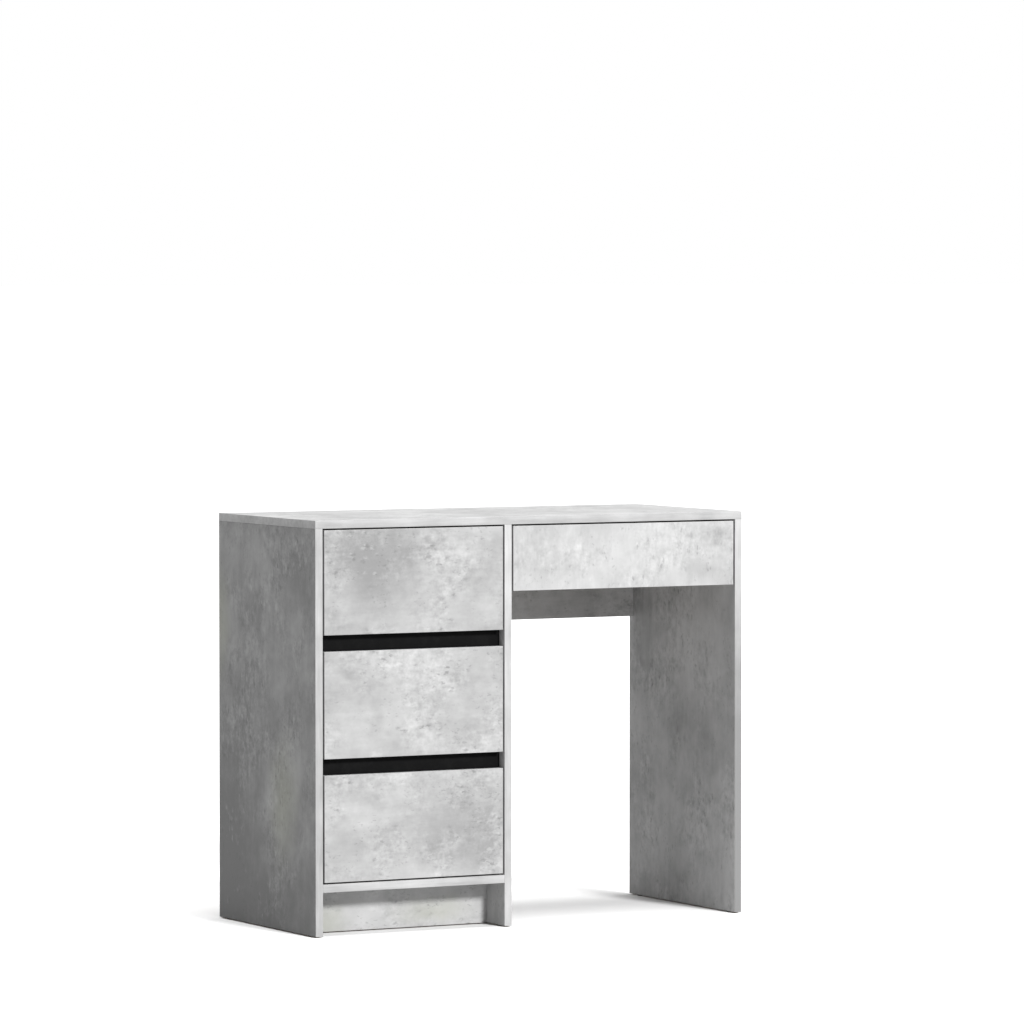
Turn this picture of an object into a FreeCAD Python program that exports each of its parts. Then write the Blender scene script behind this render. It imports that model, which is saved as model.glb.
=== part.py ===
"""Writing desk: a three-drawer pedestal on the left and one wide drawer over an open knee space.

Millimetres. X runs along the desk's width, +Y to its back and +Z up. The origin is on the floor, under
the middle of the desktop. Every sub-part is written to parts/NODE.step.
"""

import FreeCAD
import Part

import math
import os
from collections import defaultdict, namedtuple

V = FreeCAD.Vector
X, Y, Z = V(1, 0, 0), V(0, 1, 0), V(0, 0, 1)

# ---- driving dimensions -------------------------------------------------------------------------

DESK_WIDTH = 900.0
DESK_DEPTH = 400.0
DESK_HEIGHT = 760.0
BOARD = 15.0  # carcass boards and drawer fronts
BOX_BOARD = 12.0  # drawer sides and backs
HARDBOARD = 3.0  # drawer bottoms and the pedestal's back
EDGE_RADIUS = 0.6  # the rounding of every banded board edge

PEDESTAL_OPENING = 376.0  # between the pedestal's two uprights
PEDESTAL_FLOOR_Z = 82.0  # underside of the pedestal's bottom panel
PLINTH_RECESS = 70.0
MODESTY_HEIGHT = 202.0
GLIDE_HEIGHT = 2.0

REVEAL = 3.0  # gap above and below a closed front
SIDE_REVEAL = 3.5  # gap beside a closed front
FINGER_GAP = 30.5  # open slot between two pedestal fronts
TOP_FRONT_HEIGHT = 191.0
WIDE_FRONT_HEIGHT = 120.0
RAIL_HEIGHT = 60.0
RAIL_RECESS = 20.0  # front of a black rail behind the fronts' faces

BOX_LENGTH = 350.0
DEEP_BOX_HEIGHT = 130.0
WIDE_BOX_HEIGHT = 85.0
DEEP_BOX_LIFT = 21.0  # drawer box above its front's lower edge
WIDE_BOX_LIFT = 12.0
DRAWER_TRAVEL = 255.0

# ---- hardboard grooves --------------------------------------------------------------------------

GROOVE_DEPTH = 6.0
GROOVE_SLACK = 0.4
BOTTOM_GROOVE_Z = 12.0  # drawer bottom above the box's lower edge
BACK_INSET = 13.0  # pedestal back in from the desk's rear

# ---- roller runners, measured outwards from the drawer side and up from its lower edge -----------

RUNNER_GAP = 12.5  # between a drawer side and its upright
STEEL = 1.2
BEND_RADIUS = 1.1  # outside of a runner's bends
ROLLER_RADIUS = 8.5
ROLLER_CLEARANCE = 0.3
ROLLER_BORE = 2.55
AXLE_RADIUS = 2.5
RIVET_HEAD_RADIUS = 4.0
TAIL_ROLLER = (1.8, 8.5)  # across the gap, on the drawer's member
LEAD_ROLLER = (3.5, 10.5)  # across the gap, on the cabinet's member
TRACK_EDGE = 3.0  # inner edge of the cabinet member's flanges
TRACK_FLOOR = -1.8
TRACK_ROOF = 16.1
SHELF = 18.9  # underside of the drawer member's upper flange
SHELF_EDGE = 9.5
SHELF_RUN = 12.0  # lower flange under the drawer side
ROLLER_INSET = 11.0  # roller axle from its member's end
TRACK_ROOF_START = 24.0  # roof begins behind the lead roller
STOP_DEPTH = 4.6
CABINET_SCREW_RUNS = (37.0, 165.0, 300.0)
MEMBER_SCREW_RUNS = (46.0, 262.0)

# ---- fittings -----------------------------------------------------------------------------------

CamSize = namedtuple("CamSize", "radius height setback board")
CARCASS_CAM = CamSize(radius=7.5, height=12.5, setback=34.0, board=BOARD)
BOX_CAM = CamSize(radius=6.0, height=9.5, setback=24.0, board=BOX_BOARD)
FIT = 0.15  # clearance round a fitting in its hole
BOLT_THREAD = 10.5
BOLT_THREAD_RADIUS = 2.5
BOLT_COLLAR_RADIUS = 3.2
BOLT_NECK_RADIUS = 1.9
BOLT_HEAD_RADIUS = 3.0
BOLT_CHANNEL_RADIUS = 3.6
RECESS_WIDTH = 1.3
DOWEL_RADIUS = 4.0
DOWEL_LENGTH = 30.0
DOWEL_IN_FACE = 10.0
CONFIRMAT_LENGTH = 40.0
CONFIRMAT_RADIUS = 2.4
CONFIRMAT_HEAD = (3.4, 3.0)
HEX_KEY = 4.0
PAN_HEAD = (3.3, 1.3)
PAN_SHAFT_RADIUS = 1.6
PAN_LENGTH = 10.5
NAIL_LENGTH = 20.0
NAIL_RADIUS = 0.8
NAIL_HEAD = (2.0, 0.8)
GLIDE_RADIUS = 6.8
GLIDE_NAIL = (1.1, 12.0)

# ---- places worked out from the above ------------------------------------------------------------

LEFT, RIGHT = -DESK_WIDTH / 2, DESK_WIDTH / 2
FRONT, BACK = -DESK_DEPTH / 2, DESK_DEPTH / 2
TOP_UNDERSIDE = DESK_HEIGHT - BOARD
PEDESTAL_LEFT = LEFT + BOARD
PEDESTAL_RIGHT = PEDESTAL_LEFT + PEDESTAL_OPENING
KNEE_LEFT = PEDESTAL_RIGHT + BOARD
KNEE_RIGHT = RIGHT - BOARD
FRONT_BACK_FACE = FRONT + BOARD  # where the drawer boxes begin
BOX_END = FRONT_BACK_FACE + BOX_LENGTH
PEDESTAL_BACK_Y = BACK - BACK_INSET - HARDBOARD
FLOOR_TOP = PEDESTAL_FLOOR_Z + BOARD
FRONTS_TOP = TOP_UNDERSIDE - REVEAL
FRONTS_BOTTOM = FLOOR_TOP + REVEAL
LOWER_FRONT_HEIGHT = (FRONTS_TOP - FRONTS_BOTTOM - TOP_FRONT_HEIGHT - 2 * FINGER_GAP) / 2
UPPER_GAP_Z = FRONTS_TOP - TOP_FRONT_HEIGHT - FINGER_GAP / 2
LOWER_GAP_Z = FRONTS_BOTTOM + LOWER_FRONT_HEIGHT + FINGER_GAP / 2
MODESTY_Z = TOP_UNDERSIDE - MODESTY_HEIGHT
RAIL_Y = FRONT + RAIL_RECESS
PLINTH_Y = FRONT + PLINTH_RECESS
TAIL_AXLE_Y = BOX_END - ROLLER_INSET
LEAD_AXLE_Y = FRONT_BACK_FACE + ROLLER_INSET
TAIL_AXLE_Z = TRACK_FLOOR + ROLLER_RADIUS + ROLLER_CLEARANCE
LEAD_AXLE_Z = SHELF - ROLLER_RADIUS - ROLLER_CLEARANCE

Drawer = namedtuple("Drawer", "name left right front_z front_height box_height box_lift left_upright right_upright")


def drawers():
    """The four drawers: the opening that each fills, its front's place and the uprights beside it."""
    pedestal = dict(left=PEDESTAL_LEFT, right=PEDESTAL_RIGHT, box_height=DEEP_BOX_HEIGHT, box_lift=DEEP_BOX_LIFT)
    pedestal.update(left_upright="left_side_panel", right_upright="divider_panel")
    middle_z = FRONTS_BOTTOM + LOWER_FRONT_HEIGHT + FINGER_GAP
    return [
        Drawer("top_drawer", front_z=FRONTS_TOP - TOP_FRONT_HEIGHT, front_height=TOP_FRONT_HEIGHT, **pedestal),
        Drawer("middle_drawer", front_z=middle_z, front_height=LOWER_FRONT_HEIGHT, **pedestal),
        Drawer("bottom_drawer", front_z=FRONTS_BOTTOM, front_height=LOWER_FRONT_HEIGHT, **pedestal),
        Drawer(
            "wide_drawer",
            left=KNEE_LEFT,
            right=KNEE_RIGHT,
            front_z=FRONTS_TOP - WIDE_FRONT_HEIGHT,
            front_height=WIDE_FRONT_HEIGHT,
            box_height=WIDE_BOX_HEIGHT,
            box_lift=WIDE_BOX_LIFT,
            left_upright="divider_panel",
            right_upright="right_side_panel",
        ),
    ]


# ---- solids by node, and the holes that the boards still need ------------------------------------

solids = defaultdict(list)
holes = defaultdict(list)


def box(x, y, z):
    """A block that spans x, y and z, each a (low, high) pair."""
    return Part.makeBox(x[1] - x[0], y[1] - y[0], z[1] - z[0], V(x[0], y[0], z[0]))


def rod(start, direction, length, radius):
    return Part.makeCylinder(radius, length, start, direction)


def add_board(node, x, y, z, radius=EDGE_RADIUS):
    """A flat board with its edges rounded a little."""
    blank = box(x, y, z)
    solids[node].append(blank.makeFillet(radius, blank.Edges))


def cross_recess(centre, outward, reach, depth):
    """A cross cut into a head whose face is at centre and looks along outward."""
    across = [a for a in (X, Y, Z) if abs(a.dot(outward)) < 0.5]
    bars = []
    for long_axis, short_axis in (across, across[::-1]):
        half = long_axis * reach + short_axis * (RECESS_WIDTH / 2) + outward * depth
        size = V(abs(half.x), abs(half.y), abs(half.z))
        corner = centre - size
        bars.append(Part.makeBox(2 * size.x, 2 * size.y, 2 * size.z, corner))
    return bars[0].fuse(bars[1])


# ---- fittings -----------------------------------------------------------------------------------


def add_cam_lock(cam_node, bolt_node, cam_board, bolt_board, point, along, face, size):
    """A cam in cam_board that pulls on a bolt screwed into bolt_board.

    point is where the bolt crosses the joint, along runs from it to the cam, and face is the outward
    normal of the cam board's face that the cam is set in.
    """
    centre = point + along * size.setback
    mouth = centre + face * (size.board / 2)
    channel_start = size.setback - size.radius - 1
    channel = rod(point + along * channel_start, along, size.radius + 5, BOLT_CHANNEL_RADIUS)
    disc = rod(mouth, face * -1, size.height, size.radius)
    disc = disc.cut([channel, cross_recess(mouth, face, size.radius - 2.2, 1.6)])
    solids[cam_node].append(disc)
    neck_end = size.setback - 3
    bolt = rod(point - along * BOLT_THREAD, along, BOLT_THREAD, BOLT_THREAD_RADIUS)
    bolt = bolt.fuse(rod(point, along, channel_start, BOLT_COLLAR_RADIUS))
    bolt = bolt.fuse(rod(point + along * channel_start, along, neck_end - channel_start, BOLT_NECK_RADIUS))
    bolt = bolt.fuse(rod(point + along * neck_end, along, 3.5, BOLT_HEAD_RADIUS))
    solids[bolt_node].append(bolt.removeSplitter())
    holes[cam_board].append(rod(mouth, face * -1, size.height + FIT, size.radius + FIT))
    holes[cam_board].append(rod(point, along, size.setback, BOLT_CHANNEL_RADIUS + FIT))
    holes[bolt_board].append(rod(point, along * -1, BOLT_THREAD + FIT, BOLT_THREAD_RADIUS + FIT))


def add_dowel(face_board, edge_board, point, along):
    """A wooden dowel across the joint at point, from face_board's face into edge_board's edge."""
    start = point - along * DOWEL_IN_FACE
    dowel = rod(start, along, DOWEL_LENGTH, DOWEL_RADIUS)
    ends = [e for e in dowel.Edges if len(e.Vertexes) == 1]
    solids["dowels"].append(dowel.makeChamfer(0.8, ends))
    holes[face_board].append(rod(point, along * -1, DOWEL_IN_FACE + FIT, DOWEL_RADIUS + FIT))
    holes[edge_board].append(rod(point, along, DOWEL_LENGTH - DOWEL_IN_FACE + FIT, DOWEL_RADIUS + FIT))


def add_confirmat(node, side_board, end_board, point, inward):
    """A countersunk screw flush with side_board's outer face at point."""
    head_radius, head_length = CONFIRMAT_HEAD
    key_sides = 6
    key_radius = HEX_KEY / 2 / math.cos(math.pi / key_sides)
    across = [a for a in (X, Y, Z) if abs(a.dot(inward)) < 0.5]
    turns = [2 * math.pi * k / key_sides for k in range(key_sides + 1)]
    corners = [point + (across[0] * math.cos(t) + across[1] * math.sin(t)) * key_radius for t in turns]
    key = Part.Face(Part.makePolygon(corners)).extrude(inward * (head_length - 0.5))
    screw = rod(point, inward, head_length, head_radius)
    screw = screw.fuse(rod(point + inward * head_length, inward, CONFIRMAT_LENGTH - head_length, CONFIRMAT_RADIUS))
    solids[node].append(screw.removeSplitter().cut(key))
    holes[side_board].append(rod(point, inward, head_length + FIT, head_radius + FIT))
    for board in (side_board, end_board):
        holes[board].append(rod(point, inward, CONFIRMAT_LENGTH + FIT, CONFIRMAT_RADIUS + FIT))


def add_pan_screw(node, board, seat, inward):
    """A pan-head screw whose head sits on sheet steel at seat. Returns the hole that the steel needs."""
    head_radius, head_height = PAN_HEAD
    crown = seat - inward * head_height
    head = rod(crown, inward, head_height, head_radius)
    rim = [e for e in head.Edges if len(e.Vertexes) == 1 and e.CenterOfMass.sub(crown).Length < 0.1]
    head = head.makeFillet(head_height * 0.7, rim).cut(cross_recess(crown, inward, 1.9, 0.9))
    solids[node].append(head.fuse(rod(seat, inward, PAN_LENGTH, PAN_SHAFT_RADIUS)).removeSplitter())
    holes[board].append(rod(seat, inward, PAN_LENGTH + FIT, PAN_SHAFT_RADIUS + FIT))
    return rod(seat, inward, STEEL, PAN_SHAFT_RADIUS + 2 * FIT)


# ---- carcass ------------------------------------------------------------------------------------


def add_carcass_boards():
    depth = (FRONT, BACK)
    upright = (GLIDE_HEIGHT, TOP_UNDERSIDE)
    between_uprights = (PEDESTAL_LEFT, PEDESTAL_RIGHT)
    add_board("desktop", (LEFT, RIGHT), depth, (TOP_UNDERSIDE, DESK_HEIGHT))
    add_board("left_side_panel", (LEFT, PEDESTAL_LEFT), depth, upright)
    add_board("divider_panel", (PEDESTAL_RIGHT, KNEE_LEFT), depth, upright)
    add_board("right_side_panel", (KNEE_RIGHT, RIGHT), depth, upright)
    add_board("pedestal_bottom_panel", between_uprights, (FRONT, PEDESTAL_BACK_Y), (PEDESTAL_FLOOR_Z, FLOOR_TOP))
    add_board("plinth", between_uprights, (PLINTH_Y, PLINTH_Y + BOARD), (GLIDE_HEIGHT, PEDESTAL_FLOOR_Z))
    add_board("modesty_panel", (KNEE_LEFT, KNEE_RIGHT), (BACK - BOARD, BACK), (MODESTY_Z, TOP_UNDERSIDE))
    for node, middle in (("upper_black_rail", UPPER_GAP_Z), ("lower_black_rail", LOWER_GAP_Z)):
        height = (middle - RAIL_HEIGHT / 2, middle + RAIL_HEIGHT / 2)
        add_board(node, between_uprights, (RAIL_Y, RAIL_Y + BOARD), height)


def add_pedestal_back():
    """The hardboard back, held in grooves round its sides and top and nailed to the bottom panel."""
    tongue = GROOVE_DEPTH - GROOVE_SLACK
    x = (PEDESTAL_LEFT - tongue, PEDESTAL_RIGHT + tongue)
    y = (PEDESTAL_BACK_Y, PEDESTAL_BACK_Y + HARDBOARD)
    solids["pedestal_back"].append(box(x, y, (PEDESTAL_FLOOR_Z, TOP_UNDERSIDE + tongue)))
    groove_x = (PEDESTAL_LEFT - GROOVE_DEPTH, PEDESTAL_RIGHT + GROOVE_DEPTH)
    groove_y = (y[0], y[1] + GROOVE_SLACK)
    groove = box(groove_x, groove_y, (GLIDE_HEIGHT - 1, TOP_UNDERSIDE + GROOVE_DEPTH))
    for board in ("left_side_panel", "divider_panel", "desktop"):
        holes[board].append(groove)
    nails = 4
    middle_z = PEDESTAL_FLOOR_Z + BOARD / 2
    for k in range(nails):
        x_nail = PEDESTAL_LEFT + PEDESTAL_OPENING * (k + 0.5) / nails
        head = rod(V(x_nail, y[1], middle_z), Y, NAIL_HEAD[1], NAIL_HEAD[0])
        solids["back_panel_nails"].append(head.fuse(rod(V(x_nail, y[1], middle_z), Y * -1, NAIL_LENGTH, NAIL_RADIUS)))
        for board in ("pedestal_back", "pedestal_bottom_panel"):
            holes[board].append(rod(V(x_nail, y[1], middle_z), Y * -1, NAIL_LENGTH + FIT, NAIL_RADIUS + 0.05))


def add_carcass_fittings():
    """Cams, bolts and dowels that draw the boards together."""

    def cam(cam_board, bolt_board, point, along, face):
        add_cam_lock("carcass_cams", "carcass_cam_bolts", cam_board, bolt_board, point, along, face, CARCASS_CAM)

    half = BOARD / 2
    uprights = (
        ("left_side_panel", LEFT + half, X),
        ("divider_panel", PEDESTAL_RIGHT + half, X),
        ("right_side_panel", KNEE_RIGHT + half, X * -1),
    )
    for board, x, face in uprights:
        for y in (FRONT + 60, BACK - 70):
            cam(board, "desktop", V(x, y, TOP_UNDERSIDE), Z * -1, face)
        for y in (FRONT + 28, FRONT + 200, BACK - 38):
            add_dowel("desktop", board, V(x, y, TOP_UNDERSIDE), Z * -1)
    rail_y = RAIL_Y + half
    plinth_y = PLINTH_Y + half
    floor_z = PEDESTAL_FLOOR_Z + half
    ends = (("left_side_panel", PEDESTAL_LEFT, X), ("divider_panel", PEDESTAL_RIGHT, X * -1))
    for upright, x, inward in ends:
        for y in (FRONT + 120, BACK - 80):
            cam("pedestal_bottom_panel", upright, V(x, y, floor_z), inward, Z * -1)
        for y in (FRONT + 30, FRONT + 210):
            add_dowel(upright, "pedestal_bottom_panel", V(x, y, floor_z), inward)
        for rail, z in (("upper_black_rail", UPPER_GAP_Z), ("lower_black_rail", LOWER_GAP_Z)):
            cam(rail, upright, V(x, rail_y, z - 13), inward, Y)
            add_dowel(upright, rail, V(x, rail_y, z + 14), inward)
        cam("plinth", upright, V(x, plinth_y, 52), inward, Y)
        add_dowel(upright, "plinth", V(x, plinth_y, 22), inward)
    modesty_y = BACK - half
    for upright, x, inward in (("divider_panel", KNEE_LEFT, X), ("right_side_panel", KNEE_RIGHT, X * -1)):
        for z in (MODESTY_Z + 40, TOP_UNDERSIDE - 50):
            cam("modesty_panel", upright, V(x, modesty_y, z), inward, Y)
        add_dowel(upright, "modesty_panel", V(x, modesty_y, MODESTY_Z + MODESTY_HEIGHT / 2), inward)
    for x in (KNEE_LEFT + 110, KNEE_RIGHT - 110):
        add_dowel("desktop", "modesty_panel", V(x, modesty_y, TOP_UNDERSIDE), Z * -1)


def add_floor_glides():
    """Nail-on plastic glides, two under each upright."""
    nail_radius, nail_length = GLIDE_NAIL
    boards = (("left_side_panel", LEFT), ("divider_panel", PEDESTAL_RIGHT), ("right_side_panel", KNEE_RIGHT))
    for board, x in boards:
        for y in (FRONT + 32, BACK - 32):
            foot = V(x + BOARD / 2, y, 0)
            pad = rod(foot, Z, GLIDE_HEIGHT, GLIDE_RADIUS)
            rim = [e for e in pad.Edges if len(e.Vertexes) == 1 and e.CenterOfMass.z < 0.1]
            nail = rod(foot + Z * GLIDE_HEIGHT, Z, nail_length, nail_radius)
            solids["floor_glides"].append(pad.makeFillet(1.2, rim).fuse(nail).removeSplitter())
            holes[board].append(rod(foot + Z * GLIDE_HEIGHT, Z, nail_length + FIT, nail_radius + 0.05))


# ---- drawers ------------------------------------------------------------------------------------


def add_drawer_box(d):
    """Front, two sides, back and hardboard bottom, with their cams and screws."""
    left, right = d.left + RUNNER_GAP, d.right - RUNNER_GAP
    low = d.front_z + d.box_lift
    high = low + d.box_height
    length = (FRONT_BACK_FACE, BOX_END)
    front, back, bottom = d.name + "_front_panel", d.name + "_back", d.name + "_bottom"
    sides = {-1: d.name + "_left_side", 1: d.name + "_right_side"}
    front_z = (d.front_z, d.front_z + d.front_height)
    add_board(front, (d.left + SIDE_REVEAL, d.right - SIDE_REVEAL), (FRONT, FRONT_BACK_FACE), front_z)
    add_board(sides[-1], (left, left + BOX_BOARD), length, (low, high))
    add_board(sides[1], (right - BOX_BOARD, right), length, (low, high))
    groove_z = (low + BOTTOM_GROOVE_Z, low + BOTTOM_GROOVE_Z + HARDBOARD + GROOVE_SLACK)
    inner = (left + BOX_BOARD, right - BOX_BOARD)
    add_board(back, inner, (BOX_END - BOX_BOARD, BOX_END), (groove_z[1], high))
    tongue = GROOVE_DEPTH - GROOVE_SLACK
    plate_x = (inner[0] - tongue, inner[1] + tongue)
    plate_y = (FRONT_BACK_FACE - tongue, BOX_END - 0.5)
    solids[bottom].append(box(plate_x, plate_y, (groove_z[0], groove_z[0] + HARDBOARD)))
    groove_x = (inner[0] - GROOVE_DEPTH, inner[1] + GROOVE_DEPTH)
    groove = box(groove_x, (FRONT_BACK_FACE - GROOVE_DEPTH, BOX_END + 1), groove_z)
    for board in (front, *sides.values()):
        holes[board].append(groove)
    for side, board in sides.items():
        face_x = left if side < 0 else right
        outward = X * side
        middle_x = face_x - side * BOX_BOARD / 2
        for z in (low + 36, high - 22):
            joint = V(middle_x, FRONT_BACK_FACE, z)
            add_cam_lock(d.name + "_cam_locks", d.name + "_cam_locks", board, front, joint, Y, outward, BOX_CAM)
            add_confirmat(d.name + "_screws", board, back, V(face_x, BOX_END - BOX_BOARD / 2, z), outward * -1)


def across_gap(d, side, inner, outer):
    """The x span of a runner feature, given by its distances outwards from the drawer side."""
    face_x = d.left + RUNNER_GAP if side < 0 else d.right - RUNNER_GAP
    return tuple(sorted((face_x + side * inner, face_x + side * outer)))


def add_roller(d, side, node, gap, y, z):
    """A nylon roller with a bore, its faces dished."""
    x = across_gap(d, side, *gap)
    wheel = rod(V(x[0], y, z), X, x[1] - x[0], ROLLER_RADIUS)
    rims = [e for e in wheel.Edges if len(e.Vertexes) == 1]
    wheel = wheel.makeFillet(0.8, rims)
    bore = rod(V(x[0] - 1, y, z), X, x[1] - x[0] + 2, ROLLER_BORE)
    dish_depth, hub, tread = 1.1, 4.3, 7.0
    dishes = []
    for start in (x[0] - 1, x[1] - dish_depth):
        ring = rod(V(start, y, z), X, dish_depth + 1, tread)
        dishes.append(ring.cut(rod(V(start, y, z), X, dish_depth + 1, hub)))
    solids[node].append(wheel.cut([bore, *dishes]))


def bent(d, side, steel, corners):
    """A folded runner with its outer bends rounded. A corner is (distance across the gap, height)."""
    bends = []
    for gap, z in corners:
        x = across_gap(d, side, gap, gap)[0]
        bends += [e for e in steel.Edges if all(abs(v.X - x) + abs(v.Z - z) < 1e-4 for v in e.Vertexes)]
    return steel.makeFillet(BEND_RADIUS, bends)


def add_axle(d, side, node, gap, head, y, z):
    """A rivet across gap, with its head at the free end."""
    x = across_gap(d, side, *gap)
    head_x = across_gap(d, side, *head)
    axle = rod(V(x[0], y, z), X, x[1] - x[0], AXLE_RADIUS)
    cap = rod(V(head_x[0], y, z), X, head_x[1] - head_x[0], RIVET_HEAD_RADIUS)
    solids[node].append(axle.fuse(cap).removeSplitter())


def add_drawer_member(d, side, low):
    """The steel angle under a drawer side, with a shelf that rides on the lead roller."""
    node = d.name + "_runners"
    board = d.name + ("_left_side" if side < 0 else "_right_side")
    y = (FRONT_BACK_FACE + 1, BOX_END)
    top = low + SHELF + STEEL
    web = box(across_gap(d, side, 0, STEEL), y, (low - STEEL, top))
    foot = box(across_gap(d, side, -SHELF_RUN, STEEL), y, (low - STEEL, low))
    shelf = box(across_gap(d, side, 0, SHELF_EDGE), y, (low + SHELF, top))
    steel = web.fuse([foot, shelf]).removeSplitter()
    steel = bent(d, side, steel, ((STEEL, low - STEEL), (0, top)))
    drills = []
    for run in MEMBER_SCREW_RUNS:
        seat_x = across_gap(d, side, STEEL, STEEL)[0]
        seat = V(seat_x, FRONT_BACK_FACE + run, low + 7.5)
        drills.append(add_pan_screw(d.name + "_screws", board, seat, X * -side))
    solids[node].append(steel.cut(drills))
    add_axle(d, side, node, (STEEL, 9.1), (8.6, 9.2), TAIL_AXLE_Y, low + TAIL_AXLE_Z)
    add_roller(d, side, d.name + "_tail_rollers", TAIL_ROLLER, TAIL_AXLE_Y, low + TAIL_AXLE_Z)


def stop_y():
    """Rear face of the stop tab, which the tail roller meets at full travel."""
    rise = TRACK_ROOF - STOP_DEPTH - TAIL_AXLE_Z
    reach = math.sqrt(ROLLER_RADIUS**2 - rise**2)
    return TAIL_AXLE_Y - DRAWER_TRAVEL - reach - 0.4


def add_cabinet_member(d, side, low):
    """The steel channel on an upright, which the tail roller runs in."""
    node = d.name + "_cabinet_runners"
    upright = d.left_upright if side < 0 else d.right_upright
    y = (FRONT_BACK_FACE + 1, BOX_END)
    web_gap = (RUNNER_GAP - STEEL, RUNNER_GAP)
    roof_y = (y[0] + TRACK_ROOF_START, y[1])
    web = box(across_gap(d, side, *web_gap), y, (low + TRACK_FLOOR - STEEL, low + TRACK_ROOF + STEEL))
    flange_x = across_gap(d, side, TRACK_EDGE, RUNNER_GAP)
    floor = box(flange_x, y, (low + TRACK_FLOOR - STEEL, low + TRACK_FLOOR))
    roof = box(flange_x, roof_y, (low + TRACK_ROOF, low + TRACK_ROOF + STEEL))
    tab_x = across_gap(d, side, TRACK_EDGE, 8.0)
    tab = box(tab_x, (stop_y() - STEEL, stop_y()), (low + TRACK_ROOF - STOP_DEPTH, low + TRACK_ROOF))
    steel = web.fuse([floor, roof, tab]).removeSplitter()
    corners = ((RUNNER_GAP, low + TRACK_FLOOR - STEEL), (RUNNER_GAP, low + TRACK_ROOF + STEEL))
    steel = bent(d, side, steel, corners)
    drills = []
    for run in CABINET_SCREW_RUNS:
        seat_x = across_gap(d, side, web_gap[0], web_gap[0])[0]
        seat = V(seat_x, FRONT_BACK_FACE + run, low + 7.0)
        drills.append(add_pan_screw("cabinet_runner_screws", upright, seat, X * side))
    solids[node].append(steel.cut(drills))
    add_axle(d, side, node, (3.0, web_gap[0]), (2.9, 3.4), LEAD_AXLE_Y, low + LEAD_AXLE_Z)
    add_roller(d, side, d.name + "_lead_rollers", LEAD_ROLLER, LEAD_AXLE_Y, low + LEAD_AXLE_Z)


def add_drawer(d):
    low = d.front_z + d.box_lift
    add_drawer_box(d)
    for side in (-1, 1):
        add_drawer_member(d, side, low)
        add_cabinet_member(d, side, low)


# ---- output -------------------------------------------------------------------------------------


def drilled(node):
    """The node's solids with its holes cut. Holes go only through solids that they reach."""
    done = []
    for solid in solids[node]:
        reached = [h for h in holes[node] if solid.BoundBox.intersect(h.BoundBox)]
        done.append(solid.cut(reached) if reached else solid)
    return done


def export(node):
    bodies = [s for shape in drilled(node) for s in shape.Solids]
    shape = bodies[0] if len(bodies) == 1 else Part.makeCompound(bodies)
    if not shape.isValid():
        raise ValueError(node + " is not a valid shape")
    shape.exportStep(os.path.join("parts", node + ".step"))
    return len(bodies)


def main():
    os.makedirs("parts", exist_ok=True)
    add_carcass_boards()
    add_pedestal_back()
    add_carcass_fittings()
    add_floor_glides()
    for d in drawers():
        add_drawer(d)
    counts = {node: export(node) for node in sorted(solids)}
    print(len(counts), "nodes,", sum(counts.values()), "solids")


if __name__ == "__main__":
    main()
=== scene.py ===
"""Finishes, edge bands, rollers and a studio for the writing desk.

Everything is in metres in the desk's own frame: X along its width, +Y to its back and +Z up.
"""

import bmesh
import bpy
import math
from bpy.props import FloatProperty, FloatVectorProperty, PointerProperty
from bpy.types import Operator, Panel, PropertyGroup
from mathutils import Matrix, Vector


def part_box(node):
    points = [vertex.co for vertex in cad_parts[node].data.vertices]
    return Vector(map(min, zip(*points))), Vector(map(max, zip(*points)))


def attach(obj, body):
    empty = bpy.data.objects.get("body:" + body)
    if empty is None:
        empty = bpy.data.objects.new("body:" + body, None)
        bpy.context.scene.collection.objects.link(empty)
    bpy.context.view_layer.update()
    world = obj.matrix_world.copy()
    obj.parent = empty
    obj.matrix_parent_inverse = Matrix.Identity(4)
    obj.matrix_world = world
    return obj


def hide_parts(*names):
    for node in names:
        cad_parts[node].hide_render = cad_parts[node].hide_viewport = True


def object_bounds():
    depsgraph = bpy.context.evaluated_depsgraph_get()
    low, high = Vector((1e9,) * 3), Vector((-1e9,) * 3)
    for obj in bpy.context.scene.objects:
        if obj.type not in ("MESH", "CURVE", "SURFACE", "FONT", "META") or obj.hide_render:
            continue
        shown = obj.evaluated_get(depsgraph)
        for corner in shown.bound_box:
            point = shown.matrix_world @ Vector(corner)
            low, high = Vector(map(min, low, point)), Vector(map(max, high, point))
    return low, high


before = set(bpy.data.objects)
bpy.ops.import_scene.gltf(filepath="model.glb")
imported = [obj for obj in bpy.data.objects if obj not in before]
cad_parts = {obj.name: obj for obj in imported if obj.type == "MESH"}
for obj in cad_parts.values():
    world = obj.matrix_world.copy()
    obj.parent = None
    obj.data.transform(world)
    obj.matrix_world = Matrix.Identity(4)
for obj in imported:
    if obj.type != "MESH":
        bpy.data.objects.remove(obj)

CAD_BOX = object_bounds()

bl_info = {
    "name": "Writing desk",
    "version": (1, 0, 0),
    "blender": (4, 5, 0),
    "location": "3D View > Sidebar > Desk",
    "description": "Finishes, edge bands and rollers for a writing desk with drawers",
    "category": "Object",
}

DRAWERS = ("top_drawer", "middle_drawer", "bottom_drawer", "wide_drawer")
UPRIGHTS = ("left_side_panel", "divider_panel", "right_side_panel")

ACROSS, BACKWARD, UPWARD = Vector((1, 0, 0)), Vector((0, 1, 0)), Vector((0, 0, 1))

# Two places nearer than this are the same place, in metres.
TOUCH = 1e-6

# Faces that meet at less than this are shaded as one smooth surface, in degrees.
SMOOTH_BELOW = 40

# How many flats make a roller round, and how many a rounded edge.
ROLLER_FLATS, EDGE_FLATS = 48, 3

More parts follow.
